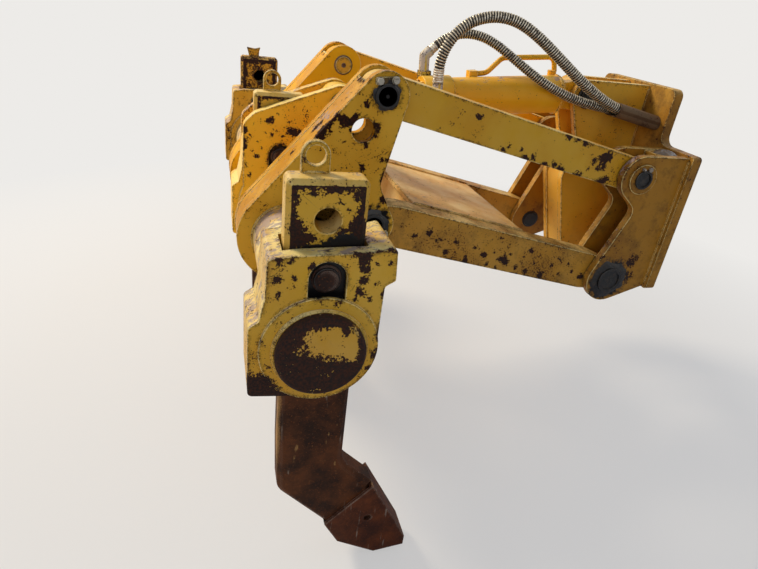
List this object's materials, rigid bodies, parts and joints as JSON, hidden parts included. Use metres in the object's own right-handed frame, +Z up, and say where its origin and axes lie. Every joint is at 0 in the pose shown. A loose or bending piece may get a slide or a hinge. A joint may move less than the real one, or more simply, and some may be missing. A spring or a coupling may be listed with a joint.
{
  "type": "parallelogram ripper of a crawler tractor",
  "caption": "Rear ripper of a crawler tractor: shanks pinned in a tool beam that a parallelogram linkage and a hydraulic cylinder raise and lower, with its bolted mounting bracket.",
  "frame": {"origin": "centre of the mounting face, on the centre plane, midway between the bracket's upper and lower link pins", "axes": "+X out of the mounting face, forward to the tractor; +Y along the tool beam, to the tractor's left; +Z up"},
  "size_m": [1.6736, 2.142, 1.5182],
  "materials": {
    "yellow_enamel": "weathered yellow enamel, chipped to brown rust at edges and corners",
    "yellow_cylinder": "yellow enamel, glossier than the frame, oily near the gland",
    "shank_steel": "bare forged steel, rusted dark brown and polished by soil low down",
    "tip_steel": "bare cast steel, red-brown rust with worn bright edges",
    "greased_pin": "dark steel under black grease",
    "chrome_rod": "hard chrome, polished",
    "hose_rubber": "dusty black rubber hose in a spiral guard",
    "brown_sleeve": "brown rusted paint",
    "fitting_steel": "zinc-plated steel dulled by dust and oil"
  },
  "bodies": {
    "bracket": {"mount_plate": "yellow_enamel", "cheeks_right": "yellow_enamel", "cheeks_left": "yellow_enamel", "cylinder_lugs": "yellow_enamel", "column_web": "yellow_enamel", "pin_collars": "yellow_enamel", "bracket_pins": "greased_pin", "head_pin": "greased_pin", "hose_guide": "brown_sleeve", "hose_ferrules": "fitting_steel", "outer_hose": "hose_rubber", "inner_hose": "hose_rubber"},
    "lower_frame": {"frame_arm_right": "yellow_enamel", "frame_arm_left": "yellow_enamel", "deck_plates": "yellow_enamel", "deck_webs": "yellow_enamel"},
    "beam": {"beam_tubes": "yellow_enamel", "pocket_right": "yellow_enamel", "pocket_centre": "yellow_enamel", "pocket_left": "yellow_enamel", "end_caps": "yellow_enamel", "clevis_right": "yellow_enamel", "clevis_left": "yellow_enamel", "beam_pins": "greased_pin", "rod_pin_ends": "greased_pin", "shank_right": "shank_steel", "shank_centre": "shank_steel", "shank_left": "shank_steel", "shank_pins": "greased_pin", "ripper_tips": "tip_steel", "lifting_eyes": "shank_steel"},
    "upper_link_right": {"upper_link_right": "yellow_enamel"},
    "upper_link_left": {"upper_link_left": "yellow_enamel"},
    "cylinder_barrel": {"cylinder_barrel": "yellow_cylinder", "cylinder_gland": "yellow_cylinder", "cylinder_ports": "fitting_steel", "oil_line": "yellow_cylinder"},
    "cylinder_rod": {"piston_rod": "chrome_rod", "rod_eye": "yellow_cylinder", "rod_pin_middle": "greased_pin"}
  },
  "joints": [
    {"name": "lift", "type": "hinge", "parent": "bracket", "child": "lower_frame", "pos_m": [-0.223, 0, -0.208], "axis": [0, 1, 0], "range_deg": [-38, 20]},
    {"name": "beam_level", "type": "hinge", "parent": "lower_frame", "child": "beam", "pos_m": [-1.23158, 0, 0.01985], "axis": [0, 1, 0], "range_deg": [-20.1, 38.1]},
    {"name": "upper_link_right", "type": "hinge", "parent": "bracket", "child": "upper_link_right", "pos_m": [-0.223, -0.325, 0.208], "axis": [0, 1, 0], "range_deg": [-38.1, 20.1]},
    {"name": "upper_link_left", "type": "hinge", "parent": "bracket", "child": "upper_link_left", "pos_m": [-0.223, 0.325, 0.208], "axis": [0, 1, 0], "range_deg": [-38.1, 20.1]},
    {"name": "cylinder_swing", "type": "hinge", "parent": "bracket", "child": "cylinder_barrel", "pos_m": [-0.315, 0, 0.435], "axis": [0, 1, 0], "range_deg": [-36.2, 19.1], "deforming": ["outer_hose", "inner_hose"]},
    {"name": "cylinder_stroke", "type": "slide", "parent": "cylinder_barrel", "child": "cylinder_rod", "axis": [-0.9955, 0, -0.0943], "range_m": [-0.108, 0.205]}
  ],
  "couplings": [
    {"joint": "beam_level", "follows": "lift", "ratio": -1},
    {"joint": "upper_link_right", "follows": "lift", "ratio": 1},
    {"joint": "upper_link_left", "follows": "lift", "ratio": 1},
    {"joint": "cylinder_swing", "follows": "lift", "ratio": 0.9505},
    {"joint": "cylinder_stroke", "follows": "lift", "m_per_rad": -0.3071}
  ]
}
